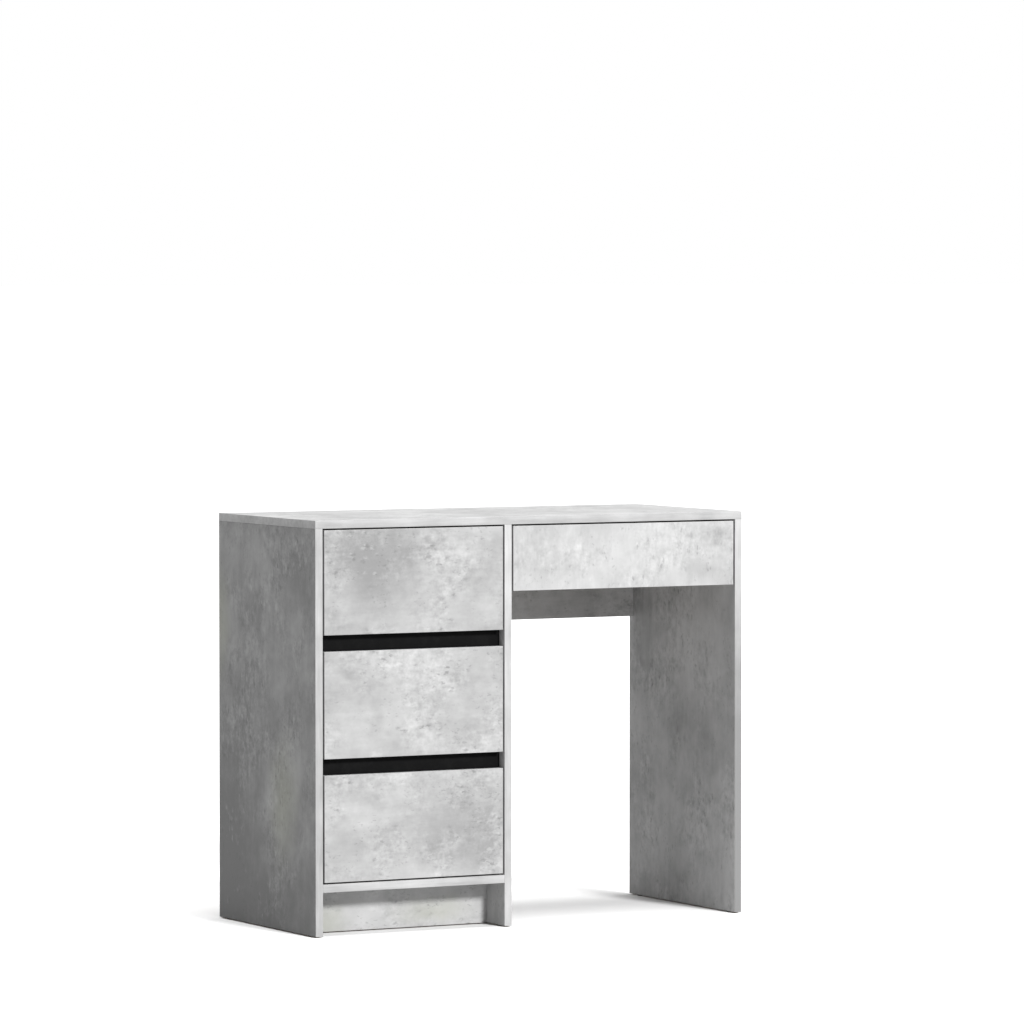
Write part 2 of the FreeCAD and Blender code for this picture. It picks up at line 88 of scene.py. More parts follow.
# How pale each drawer front is, and its clouds: centre, size and how much paler than the rest.
FRONT_CLOUDS = {
    "top_drawer": (-0.06, (
        ((-0.325, -0.2, 0.705), (0.180, 1, 0.080), -0.36),
        ((-0.330, -0.2, 0.640), (0.075, 1, 0.100), -0.18),
        ((-0.425, -0.2, 0.594), (0.030, 1, 0.030), -0.12),
        ((-0.220, -0.2, 0.600), (0.120, 1, 0.060), 0.08),
    )),
    "middle_drawer": (-0.03, (
        ((-0.390, -0.2, 0.485), (0.032, 1, 0.026), -0.14),
        ((-0.120, -0.2, 0.465), (0.075, 1, 0.030), -0.10),
        ((-0.370, -0.2, 0.440), (0.080, 1, 0.035), -0.07),
        ((-0.210, -0.2, 0.345), (0.140, 1, 0.040), 0.07),
    )),
    "bottom_drawer": (-0.07, (
        ((-0.160, -0.2, 0.190), (0.130, 1, 0.110), -0.20),
        ((-0.218, -0.2, 0.140), (0.045, 1, 0.045), -0.12),
        ((-0.085, -0.2, 0.165), (0.040, 1, 0.040), -0.10),
        ((-0.350, -0.2, 0.210), (0.055, 1, 0.060), 0.12),
        ((-0.300, -0.2, 0.270), (0.070, 1, 0.050), 0.06),
    )),
    "wide_drawer": (0.05, (
        ((0.040, -0.2, 0.670), (0.070, 1, 0.060), -0.09),
        ((0.396, -0.2, 0.722), (0.050, 1, 0.040), -0.18),
        ((0.345, -0.2, 0.655), (0.080, 1, 0.035), -0.12),
        ((0.200, -0.2, 0.690), (0.120, 1, 0.060), 0.08),
    )),
}

# Clouds and moss stains of the uprights and the plinth, laid out in the same way.
# The left side's first two clouds, dark and low, are painted shade towards the floor.
LEFT_CLOUDS_AND_SHADE = (
    ((-0.45, 0.200, 0.080), (1, 0.330, 0.420), -0.38),
    ((-0.45, -0.100, 0.030), (1, 0.180, 0.170), -0.16),
    ((-0.45, -0.020, 0.230), (1, 0.060, 0.090), 0.16),
    ((-0.45, -0.110, 0.310), (1, 0.050, 0.090), 0.16),
    ((-0.45, 0.010, 0.710), (1, 0.220, 0.070), 0.14),
    ((-0.45, 0.080, 0.570), (1, 0.080, 0.070), -0.10),
)
LEFT_MOSS = (
    ((-0.45, -0.070, 0.240), (1, 0.080, 0.160)),
    ((-0.45, 0.190, 0.560), (1, 0.050, 0.150)),
)
PLINTH_MOSS = (
    ((-0.395, -0.13, 0.020), (0.060, 1, 0.060)),
    ((-0.170, -0.13, 0.030), (0.110, 1, 0.035)),
)
RIGHT_CLOUDS = (
    ((0.435, -0.030, 0.480), (1, 0.050, 0.090), 0.16),
    ((0.435, -0.095, 0.415), (1, 0.050, 0.060), 0.12),
    ((0.435, 0.020, 0.350), (1, 0.070, 0.100), -0.14),
    ((0.435, 0.150, 0.500), (1, 0.060, 0.180), -0.08),
)


# ---- sizes and colours that a user would change --------------------------------------------------


def number(name, description, default, **settings):
    return FloatProperty(name=name, description=description, default=default, **settings)


def length(name, description, default):
    return number(name, description, default, min=0, precision=5, unit="LENGTH")


def angle(name, description, degrees):
    return number(name, description, math.radians(degrees), subtype="ANGLE")


def colour(name, description, default):
    limits = {"subtype": "COLOR", "min": 0, "max": 1}
    return FloatVectorProperty(name=name, description=description, default=default, **limits)


class DeskSizes(PropertyGroup):
    band_proud: length("Band height", "How far an edge band stands off its board", 0.00012)
    band_thickness: length("Band thickness", "Thickness of an edge band", 0.0008)
    band_rounding: length("Band rounding", "Rounding of an edge band's outer edges", 0.0005)
    roller_rim: length("Roller rim", "Width of a roller's raised rim", 0.0014)
    roller_dish: length("Roller dish", "Depth of the dish in a roller's face", 0.0011)
    roller_hub: length("Roller hub", "Radius of a roller's raised hub", 0.0043)
    roller_bore: length("Roller bore", "Radius of the hole for a roller's axle", 0.00255)


class DeskColours(PropertyGroup):
    laminate_light: colour("Laminate, light", "Lightest clouds of the concrete print", (0.54, 0.54, 0.54))
    laminate_dark: colour("Laminate, dark", "Darkest clouds of the concrete print", (0.235, 0.235, 0.235))
    laminate_pit: colour("Laminate, pits", "Pits and specks in the concrete print", (0.12, 0.12, 0.12))
    # The pale flecks are painted highlight: the lit lip next to each pit of the print.
    laminate_painted_highlight: colour("Laminate, chalk", "Pale flecks of the concrete print", (0.66, 0.66, 0.66))
    laminate_moss: colour("Laminate, moss", "Warm green-grey of a few stains", (0.345, 0.352, 0.30))
    black: colour("Black laminate", "Black rails in the finger gaps", (0.0045, 0.0045, 0.0047))
    melamine: colour("Melamine", "Drawer sides and backs", (0.60, 0.60, 0.58))
    lacquer: colour("Lacquer", "Painted side of the hardboard", (0.56, 0.56, 0.54))
    fibre: colour("Hardboard", "Bare side of the hardboard", (0.25, 0.186, 0.135))
    chip_light: colour("Chips, light", "Pale chips in a bare board edge", (0.50, 0.36, 0.21))
    chip_dark: colour("Chips, dark", "Dark chips in a bare board edge", (0.22, 0.13, 0.06))
    steel_paint: colour("Runner paint", "Powder coat on the drawer runners", (0.68, 0.68, 0.66))
    nylon: colour("Nylon", "Drawer rollers", (0.70, 0.69, 0.65))
    zinc: colour("Zinc", "Plated screws and bolts", (0.62, 0.63, 0.64))
    zinc_cast: colour("Cast zinc", "Cam discs", (0.42, 0.43, 0.44))
    beech: colour("Beech", "Dowels", (0.50, 0.32, 0.17))
    glide: colour("Glides", "Floor glides", (0.025, 0.025, 0.027))
    floor: colour("Floor", "Studio floor", (0.92, 0.92, 0.92))
    floor_bounce: colour("Floor bounce", "Grey that the floor throws back", (0.46, 0.46, 0.46))


class DeskStudio(PropertyGroup):
    floor_width: length("Floor width", "Width and depth of the floor", 600)
    camera_side: length("Camera side", "How far left of the desk the camera stands", 5.383)
    camera_distance: length("Camera distance", "How far in front of the desk the camera stands", 9.973)
    camera_height: length("Camera height", "Height of the lens above the floor", 1.223)
    camera_reach: length("Camera reach", "How far away the camera still sees", 2000)
    lens: number("Lens", "Focal length in millimetres", 212.4, min=1)
    sensor: number("Sensor", "Width of the camera's sensor in millimetres", 36, min=1)
    yaw: angle("Yaw", "Camera's turn to the right", 28.65)
    pitch: angle("Pitch", "Camera's tilt down", 2.34)
    key_strength: number("Key light", "Strength of the front light", 3.5, min=0)
    key_spread: angle("Key spread", "Softness of the front light", 9)
    top_strength: number("Top light", "Strength of the overhead light", 3.1, min=0)
    top_spread: angle("Top spread", "Softness of the overhead light", 35)
    ambient: number("Ambient", "Strength of the surround's light", 0.40, min=0)


# ---- shader building -----------------------------------------------------------------------------


class Socket:
    """An output in a material's nodes. Arithmetic on it adds Math nodes."""

    def __init__(self, shader, socket):
        self.shader = shader
        self.socket = socket

    def math(self, operation, first, second):
        return self.shader.add("ShaderNodeMath", {"operation": operation}, {0: first, 1: second})

    def __add__(self, other):
        return self.math("ADD", self, other)

    def __radd__(self, other):
        return self.math("ADD", other, self)

    def __sub__(self, other):
        return self.math("SUBTRACT", self, other)

    def __rsub__(self, other):
        return self.math("SUBTRACT", other, self)

    def __mul__(self, other):
        return self.math("MULTIPLY", self, other)

    def __rmul__(self, other):
        return self.math("MULTIPLY", other, self)

    def rise(self, start, end):
        """0 below start and 1 above end, with a smooth step. It falls when start is the larger."""
        values = {"Value": self, "From Min": start, "From Max": end}
        return self.shader.add("ShaderNodeMapRange", {"interpolation_type": "SMOOTHSTEP"}, values)


class Nodes:
    """The nodes of one material or surround."""

    def __init__(self, tree):
        self.tree = tree

    def add(self, kind, settings=None, inputs=None, output=0):
        """Adds one node: its settings first, then a value or a link for each of its sockets."""
        node = self.tree.nodes.new(kind)
        for key, value in (settings or {}).items():
            setattr(node, key, value)
        for key, value in (inputs or {}).items():
            self.feed(node.inputs[key], value)
        return Socket(self, node.outputs[output])

    def feed(self, socket, value):
        """Links the socket where value is an output, or else sets it to value."""
        if isinstance(value, Socket):
            self.tree.links.new(value.socket, socket)
        else:
            socket.default_value = value


class Shader(Nodes):
    """One material and its Principled surface."""

    def __init__(self, name, **constants):
        self.material = bpy.data.materials.new(name)
        self.material.use_nodes = True
        super().__init__(self.material.node_tree)
        self.surface = self.tree.nodes["Principled BSDF"]
        for key, value in constants.items():
            self.surface.inputs[key.replace("_", " ")].default_value = value
        self.space = self.add("ShaderNodeTexCoord", output="Object")

    def moved(self, place=(0, 0, 0), stretch=(1, 1, 1), turn=(0, 0, 0)):
        """Object coordinates with the pattern moved, turned and stretched."""
        values = {"Vector": self.space, "Location": place, "Rotation": turn, "Scale": stretch}
        return self.add("ShaderNodeMapping", None, values)

    def noise(self, vector, scale, detail=2.0, roughness=0.5, distortion=0.0):
        values = {"Scale": scale, "Detail": detail, "Roughness": roughness, "Distortion": distortion}
        return self.add("ShaderNodeTexNoise", None, {"Vector": vector, **values})

    def cells(self, vector, scale, feature="F1", output="Distance"):
        values = {"Vector": vector, "Scale": scale}
        return self.add("ShaderNodeTexVoronoi", {"feature": feature}, values, output)

    def drift(self, vector, scale, amount):
        """The vector pushed about by a soft noise, so that what follows it has no straight lines.

        The push is amount / 2 along each axis on average.
        """
        push = self.add("ShaderNodeTexNoise", None, {"Vector": vector, "Scale": scale}, output="Color")
        reach = {0: push, 1: (amount, amount, amount), 2: vector}
        return self.add("ShaderNodeVectorMath", {"operation": "MULTIPLY_ADD"}, reach)

    def smudge(self, vector, centre, size):
        """1 at centre, fading to 0 at a distance of size along each axis."""
        away = self.add("ShaderNodeVectorMath", {"operation": "SUBTRACT"}, {0: vector, 1: centre})
        away = self.add("ShaderNodeVectorMath", {"operation": "DIVIDE"}, {0: away, 1: size})
        distance = self.add("ShaderNodeVectorMath", {"operation": "LENGTH"}, {0: away}, output="Value")
        return distance.rise(1, 0)

    def mix(self, factor, first, second):
        """A colour between first and second."""
        inputs = {0: factor, 6: opaque(first), 7: opaque(second)}
        return self.add("ShaderNodeMix", {"data_type": "RGBA"}, inputs, output=2)

    def axis(self, vector, name):
        return self.add("ShaderNodeSeparateXYZ", None, {0: vector}, output=name)

    def facing(self, direction):
        """1 where the surface looks along direction, from the object's own normals."""
        pair = {0: self.add("ShaderNodeTexCoord", output="Normal"), 1: direction}
        along = self.add("ShaderNodeVectorMath", {"operation": "DOT_PRODUCT"}, pair, output="Value")
        return along.rise(0.6, 0.8)

    def finish(self, base, roughness, height, depth):
        """Feeds the surface with its colour, roughness and relief, and returns the material."""
        bump = {"Height": height, "Distance": depth}
        self.feed(self.surface.inputs["Base Color"], base)
        self.feed(self.surface.inputs["Roughness"], roughness)
        self.feed(self.surface.inputs["Normal"], self.add("ShaderNodeBump", None, bump))
        return self.material


def opaque(value):
    """Three numbers as a colour with full alpha. Sockets pass through."""
    return value if isinstance(value, Socket) else (*value, 1)


def scaled(tint, share):
    """A colour made darker, or paler where share is above 1."""
    return [channel * share for channel in tint]


# ---- materials -----------------------------------------------------------------------------------

# How fine each layer of the concrete print is, in features to the metre.
CLOUD, BUSY, PATCH, DOT_GROUP, PIT_GROUP = 5, 9, 19, 21, 30
STREAK, MOTTLE, PIT, SMEAR, DOT, GRIT = 60, 62, 76, 120, 150, 190
RAGGED, GRAIN = 240, 1400

# The same for the edge bands and for bare chipboard.
BAND_CLOUD, BAND_STREAK, BAND_SPECK, BAND_GRAIN = 14, 130, 300, 1600
CHIP, DUST = 320, 900

# How fine a layer is along the board, as a share of how fine it is across. Less is more drawn out.
STREAK_SHARE, SMEAR_SHARE, RAGGED_SHARE, BAND_SHARE = 0.16, 0.4, 0.55, 0.08

# How far a layer is pushed about to roughen the outlines of its pits, and how far the painted
# highlight next to a pit stands from it, in metres.
RAGGED_REACH, PAINTED_HIGHLIGHT_OFFSET = 0.010, (0.003, 0.003, -0.003)

# How the outlines of the placed clouds and stains waver: features to the metre, and metres.
WAVER, WAVER_REACH = 16, 0.05

# Relief depths in metres.
PRINT_RELIEF, BAND_RELIEF = 0.00012, 0.00008


def concrete_tone(shader, place, along, busy):
    """Grey value of the concrete print, about 0.5. Its fine layers are stronger where it is busy."""
    spot = shader.moved(place)
    cloud = shader.noise(spot, CLOUD, detail=3, distortion=0.5)
    patch = shader.noise(spot, PATCH, detail=4, distortion=0.4)
    mottle = shader.noise(spot, MOTTLE, detail=3, roughness=0.55)
    grit = shader.noise(spot, GRIT)
    streaked = shader.moved(place, drawn_out(along, STREAK_SHARE))
    streak = shader.noise(streaked, STREAK, detail=4, roughness=0.6)
    smear = shader.noise(shader.moved(place, drawn_out(along, SMEAR_SHARE)), SMEAR)
    tone = 0.5 + (cloud - 0.5) * 0.55 + (patch - 0.5) * 0.4 + (streak - 0.5) * 0.22
    tone = tone + (mottle - 0.5) * (busy * 0.44 + 0.14) + (grit - 0.5) * (busy * 0.25 + 0.06)
    return tone + (smear - 0.5) * (busy * 0.3 + 0.08)


def placed_smudges(shader, places):
    """One wavering smudge for each centre and size."""
    wavering = shader.drift(shader.space, WAVER, WAVER_REACH)
    push = Vector((1, 1, 1)) * (WAVER_REACH / 2)
    return [shader.smudge(wavering, Vector(centre) + push, size) for centre, size in places]


def drawn_out(along, share):
    """Scale that draws a pattern out along one axis."""
    return [share if abs(a) > 0.5 else 1 for a in along]


def chip_core(shader, spot):
    """Colour of bare chipboard."""
    colours = bpy.context.scene.desk_colours
    flake = shader.cells(spot, CHIP, output="Color")
    shade = shader.add("ShaderNodeRGBToBW", None, {0: flake})
    dust = shader.noise(spot, DUST)
    return shader.mix((shade + dust - 0.5).rise(0.1, 0.9), colours.chip_dark, colours.chip_light)


def concrete_laminate(name, place, along, bare=None, **look):
    """Concrete print on melamine: clouds, streaks along the board, clustered pits and fine grain.

    place moves the print so that no two boards match, and bare is the direction of an unbanded edge.
    In look, lift makes a board paler, strength is the contrast of its print, and shade scales its two
    greys, which paints shade on a board that stands out of the light. A cloud is its centre, its size
    and how much paler it is, and a moss stain is its centre and its size.
    """
    colours = bpy.context.scene.desk_colours
    lift, strength, shade = look.get("lift", 0), look.get("strength", 1), look.get("shade", 1)
    clouds, moss = look.get("clouds", ()), look.get("moss", ())
    s = Shader(name, Specular_IOR_Level=0.3)
    spot = s.moved(place)
    busy = s.noise(spot, BUSY, detail=3, roughness=0.6).rise(0.42, 0.6)
    tone = concrete_tone(s, place, along, busy)
    for smudge, cloud in zip(placed_smudges(s, [cloud[:2] for cloud in clouds]), clouds):
        tone = tone + smudge * cloud[2]
    tone = (tone - 0.5) * strength + (0.5 + lift)
    # Painted shade: a shade below 1 darkens both greys of the print.
    dark, light = scaled(colours.laminate_dark, shade), scaled(colours.laminate_light, shade)
    base = s.mix(tone.rise(0, 1), dark, light)
    for smudge in placed_smudges(s, moss):
        base = s.mix(smudge * 0.55, base, colours.laminate_moss)

    # Pits in groups, each with a painted highlight on one side, and smaller dots in groups of their own.
    ragged = s.drift(s.moved(place, drawn_out(along, RAGGED_SHARE)), RAGGED, RAGGED_REACH)
    beside = s.add("ShaderNodeVectorMath", {"operation": "ADD"}, {0: ragged, 1: PAINTED_HIGHLIGHT_OFFSET})
    sparse = s.noise(spot, PIT_GROUP).rise(0.38, 0.54) * busy
    pit = s.cells(ragged, PIT).rise(0.32, 0.05) * sparse
    rim = s.cells(beside, PIT).rise(0.32, 0.1) * sparse
    dots = s.cells(ragged, DOT).rise(0.36, 0.1) * s.noise(spot, DOT_GROUP, detail=3).rise(0.48, 0.6)
    # Painted highlight: a pale lip on one side of each pit, as if the light caught it.
    base = s.mix(rim * 0.17, base, colours.laminate_painted_highlight)
    base = s.mix(pit * 0.5, base, colours.laminate_pit)
    base = s.mix(dots * 0.32, base, colours.laminate_pit)
    grain = s.noise(spot, GRAIN)
    height = grain * 0.25 - pit - dots * 0.6 + tone * 0.15
    roughness = 0.54 + (grain - 0.5) * 0.12 + pit * 0.15
    if bare:
        core = s.facing(bare)
        base = s.mix(core, base, chip_core(s, spot))
        roughness = roughness + core * 0.35
    return s.finish(base, roughness, height, PRINT_RELIEF)


def band_laminate(name, place, along, lift=0, painted_floor_shade=0):
    """Edge band in the laminate's own grey, quieter, with streaks along its length.

    lift makes it paler, and the last argument paints shade on it, darker towards the floor.
    """
    colours = bpy.context.scene.desk_colours
    s = Shader(name, Specular_IOR_Level=0.3)
    spot = s.moved(place)
    drawn = s.moved(place, drawn_out(along, BAND_SHARE))
    streak = s.noise(drawn, BAND_STREAK, detail=4, roughness=0.6)
    cloud = s.noise(spot, BAND_CLOUD, detail=3, roughness=0.55)
    grain = s.noise(spot, BAND_GRAIN)
    tone = 0.5 + lift + (streak - 0.5) * 0.5 + (cloud - 0.5) * 0.5
    # Painted shade: the band grows darker from the top of the desk down to the floor.
    if painted_floor_shade:
        tone = tone - s.axis(s.space, "Z").rise(CAD_BOX[1].z, 0) * painted_floor_shade
    base = s.mix(tone.rise(0, 1), colours.laminate_dark, colours.laminate_light)
    speck = s.cells(spot, BAND_SPECK).rise(0.16, 0.08) * cloud.rise(0.5, 0.62)
    base = s.mix(speck * 0.4, base, colours.laminate_pit)
    return s.finish(base, 0.5 + (grain - 0.5) * 0.1, grain * 0.3 + streak * 0.2, BAND_RELIEF)


def black_laminate():
    """Matt black melamine with a fine pearl texture and a little dust."""
    colours = bpy.context.scene.desk_colours
    s = Shader("black_laminate", Specular_IOR_Level=0.06)
    pearl = s.noise(s.space, 1800)
    dust = s.noise(s.space, 40, detail=5, roughness=0.7).rise(0.45, 0.75)
    lint = s.cells(s.space, 420).rise(0.12, 0.05) * dust
    base = s.mix(dust * 0.05 + lint * 0.2, colours.black, (0.08, 0.08, 0.078))
    return s.finish(base, 0.55 + (pearl - 0.5) * 0.2 + dust * 0.1, pearl, 0.00006)


def box_melamine(name, place, bare):
    """Pale melamine of the drawer boxes, with a linen print and one bare chipboard edge."""
    colours = bpy.context.scene.desk_colours
    s = Shader(name, Specular_IOR_Level=0.45)
    spot = s.moved(place)
    warp = s.noise(s.moved(place, (1, 0.05, 1)), 900, detail=3)
    weft = s.noise(s.moved(place, (1, 1, 0.05)), 900, detail=3)
    linen = (warp + weft) * 0.5
    cloud = s.noise(spot, 9, detail=3)
    print_tone = linen.rise(0.36, 0.64) * 0.5 + (cloud - 0.5) * 0.4
    base = s.mix(print_tone, scaled(colours.melamine, 0.82), colours.melamine)
    core = s.facing(bare)
    base = s.mix(core, base, chip_core(s, spot))
    return s.finish(base, 0.42 + (linen - 0.5) * 0.15 + core * 0.4, linen, 0.00004)


def hardboard(name, bare):
    """Thin hardboard: lacquered on one side, brown pressed fibre where it looks along bare."""
    colours = bpy.context.scene.desk_colours
    s = Shader(name, Specular_IOR_Level=0.3)
    fibre = s.noise(s.space, 420, detail=6, roughness=0.75, distortion=1.5)
    tuft = s.noise(s.space, 110, detail=5, roughness=0.7, distortion=2.0)
    mesh = s.cells(s.space, 700, feature="DISTANCE_TO_EDGE")
    cloud = s.noise(s.space, 6, detail=4, roughness=0.6)
    knot = s.cells(s.drift(s.space, 300, 0.006), 160).rise(0.24, 0.06)
    knot = knot * s.noise(s.space, 40).rise(0.5, 0.6)
    brown = s.mix((fibre * 0.5 + tuft * 0.5).rise(0.34, 0.66), scaled(colours.fibre, 0.55), colours.fibre)
    brown = s.mix(cloud.rise(0.35, 0.7) * 0.25, brown, scaled(colours.fibre, 1.35))
    brown = s.mix(knot * 0.5, brown, scaled(colours.fibre, 0.4))
    lacquer = s.mix(cloud.rise(0.3, 0.7), scaled(colours.lacquer, 0.93), colours.lacquer)
    raw = s.facing(bare)
    base = s.mix(raw, lacquer, brown)
    height = fibre * 0.4 + tuft * raw * 0.3 + mesh * raw * 0.5
    return s.finish(base, 0.45 + raw * 0.35 + (fibre - 0.5) * 0.1, height, 0.00015)


def runner_paint():
    """Powder coat on sheet steel, with orange peel and grey rub marks."""
    colours = bpy.context.scene.desk_colours
    s = Shader("runner_paint", Specular_IOR_Level=0.5)
    peel = s.noise(s.space, 620)
    rub = s.noise(s.moved(stretch=(1, 0.03, 1)), 500, detail=4, roughness=0.7).rise(0.6, 0.78)
    base = s.mix(rub * 0.35, colours.steel_paint, (0.30, 0.30, 0.31))
    return s.finish(base, 0.34 + (peel - 0.5) * 0.15 + rub * 0.15, peel - rub * 0.2, 0.00006)


def roller_nylon():
    """Moulded nylon, slightly dull on the running surface."""
    colours = bpy.context.scene.desk_colours
    s = Shader("roller_nylon", Subsurface_Weight=0.15, Subsurface_Scale=0.002)
    cloud = s.noise(s.space, 180, detail=3)
    turned = s.noise(s.moved(stretch=(1, 0.1, 0.1)), 2400)
    base = s.mix(cloud.rise(0.35, 0.7), scaled(colours.nylon, 0.86), colours.nylon)
    return s.finish(base, 0.36 + (cloud - 0.5) * 0.2, turned, 0.00002)


def bare_metal(name, tint, roughness, pitting):
    """Zinc, cast or plated: faint colour clouds, fine scratches and shallow pitting."""
    s = Shader(name, Metallic=1.0)
    cloud = s.noise(s.space, 120, detail=3)
    scratch = s.noise(s.moved(stretch=(1, 0.06, 1), turn=(0.4, 0.3, 0.2)), 2200, detail=3)
    pit = s.cells(s.space, 1500).rise(0.3, 0.1)
    base = s.mix(cloud.rise(0.3, 0.7), scaled(tint, 0.8), tint)
    height = scratch * 0.3 - pit * pitting
    return s.finish(base, roughness + (cloud - 0.5) * 0.2 + pit * 0.1, height, 0.00003)


def dowel_beech():
    """Beech with short dark rays along the grain."""
    colours = bpy.context.scene.desk_colours
    s = Shader("dowel_beech", Specular_IOR_Level=0.35)
    grain = s.noise(s.moved(stretch=(0.12, 1, 1)), 900, detail=4, roughness=0.65)
    ray = s.cells(s.moved(stretch=(0.3, 1, 1)), 700).rise(0.22, 0.1)
    base = s.mix(grain.rise(0.3, 0.7), scaled(colours.beech, 0.7), colours.beech)
    base = s.mix(ray * 0.4, base, scaled(colours.beech, 0.45))
    return s.finish(base, 0.65 + (grain - 0.5) * 0.2, grain - ray, 0.00006)


def glide_plastic():
    """Black moulded plastic, scuffed grey where it meets the floor."""
    colours = bpy.context.scene.desk_colours
    s = Shader("glide_plastic")
    scuff = s.noise(s.moved(stretch=(1, 0.2, 1)), 500, detail=4, roughness=0.7).rise(0.5, 0.7)
    grain = s.noise(s.space, 1500)
    base = s.mix(scuff * 0.25, colours.glide, (0.16, 0.16, 0.155))
    return s.finish(base, 0.45 + scuff * 0.25 + (grain - 0.5) * 0.1, grain, 0.00004)


# ---- modelling -----------------------------------------------------------------------------------


def paint(node, material):
    """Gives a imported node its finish."""
    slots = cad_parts[node].data.materials
    slots.clear()
    slots.append(material)


def pick(piece, domain, test):
    """Selects the faces or edges of piece whose own test holds, and nothing else, in edit mode."""
    bpy.ops.mesh.select_mode(type=domain)
    bpy.ops.mesh.select_all(action="DESELECT")
    mesh = bmesh.from_edit_mesh(piece.data)
    for element in mesh.faces if domain == "FACE" else mesh.edges:
        element.select_set(test(element))
    bmesh.update_edit_mesh(piece.data)


def edge_middle(edge):
    return (edge.verts[0].co + edge.verts[1].co) / 2


def longest_axis(direction):
    return max(range(3), key=lambda k: abs(direction[k]))


def add_strip(low, high, outward, rounding):
    """A flat strip that fills a box, rounded along the edges of its outward face."""
    centre, size = (low + high) / 2, high - low
    bpy.ops.object.select_all(action="DESELECT")
    bpy.ops.mesh.primitive_cube_add(size=1, location=centre, scale=size)
    bpy.ops.object.transform_apply(location=True, rotation=True, scale=True)
    strip = bpy.context.active_object
    face_at = max(low.dot(outward), high.dot(outward))
    bpy.ops.object.mode_set(mode="EDIT")
    pick(strip, "EDGE", lambda edge: abs(edge_middle(edge).dot(outward) - face_at) < TOUCH)
    bpy.ops.mesh.bevel(offset=rounding, segments=EDGE_FLATS)
    bpy.ops.object.mode_set(mode="OBJECT")
    return strip


def joined(parts, name, material, body):
    """Joins parts into one named, smooth-shaded piece that rides on body."""
    bpy.ops.object.select_all(action="DESELECT")
    for part in parts:
        part.select_set(True)
    bpy.context.view_layer.objects.active = parts[0]
    if len(parts) > 1:
        bpy.ops.object.join()
    bpy.ops.object.shade_smooth_by_angle(angle=math.radians(SMOOTH_BELOW))
    piece = bpy.context.active_object
    piece.name = name
    piece.data.name = name
    piece.data.materials.clear()
    piece.data.materials.append(material)
    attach(piece, body)
    return piece


def band_strips(node, sides):
    """Strips over the sides of a board. At a corner, the side that comes first covers the other's end."""
    sizes = bpy.context.scene.desk_sizes
    inset = sizes.band_thickness - sizes.band_proud
    low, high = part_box(node)
    thin = min(range(3), key=lambda k: high[k] - low[k])
    strips = []
    for place, outward in enumerate(sides):
        along = longest_axis(outward)
        start, end = low.copy(), high.copy()
        for other in sides[:place]:
            lane = longest_axis(other)
            if lane != along and other[lane] > 0:
                end[lane] -= inset
            if lane != along and other[lane] < 0:
                start[lane] += inset
        start[thin] += sizes.band_proud / 2
        end[thin] -= sizes.band_proud / 2
        if outward[along] > 0:
            start[along] = high[along] - inset
            end[along] = high[along] + sizes.band_proud
        else:
            start[along] = low[along] - sizes.band_proud
            end[along] = low[along] + inset
        strips.append(add_strip(start, end, outward, sizes.band_rounding))
    return strips


def add_band(node, sides, material, body):
    """One edge band piece over the given sides of a board."""
    joined(band_strips(node, sides), node + "_edge_band", material, body)


def add_roller(low, high):
    """A roller along X that fills its box: raised rim and hub, dished faces and a through bore."""
    sizes = bpy.context.scene.desk_sizes
    radius, width, centre = (high.z - low.z) / 2, high.x - low.x, (low + high) / 2
    quarter_turn = (0, math.pi / 2, 0)
    shape = {"radius": radius, "depth": width, "location": centre, "rotation": quarter_turn}
    bpy.ops.object.select_all(action="DESELECT")
    bpy.ops.mesh.primitive_cylinder_add(vertices=ROLLER_FLATS, **shape)
    bpy.ops.object.transform_apply(location=True, rotation=True, scale=True)
    roller = bpy.context.active_object
    bpy.ops.object.mode_set(mode="EDIT")
    pick(roller, "FACE", lambda face: abs(face.normal.x) > 0.9)

    # From the rim inwards: rim, slope, dish, slope, hub and bore.
    rim_slope, hub_slope = sizes.roller_dish * 0.3, sizes.roller_dish * 0.2
    dish_width = radius - sizes.roller_rim - rim_slope - sizes.roller_hub
    bpy.ops.mesh.inset(thickness=sizes.roller_rim, depth=0)
    bpy.ops.mesh.inset(thickness=rim_slope, depth=-sizes.roller_dish)
    bpy.ops.mesh.inset(thickness=dish_width, depth=0)
    bpy.ops.mesh.inset(thickness=hub_slope, depth=sizes.roller_dish)
    bpy.ops.mesh.inset(thickness=sizes.roller_hub - hub_slope - sizes.roller_bore, depth=0)
    bpy.ops.mesh.bridge_edge_loops()

    def is_rim(edge):
        level = abs(edge.verts[0].co.x - edge.verts[1].co.x) < TOUCH
        return level and abs((edge_middle(edge) - centre).yz.length - radius) < radius * 0.01

    pick(roller, "EDGE", is_rim)
    bpy.ops.mesh.bevel(offset=width * 0.11, segments=EDGE_FLATS)
    bpy.ops.object.mode_set(mode="OBJECT")
    return roller


# ---- operators -----------------------------------------------------------------------------------


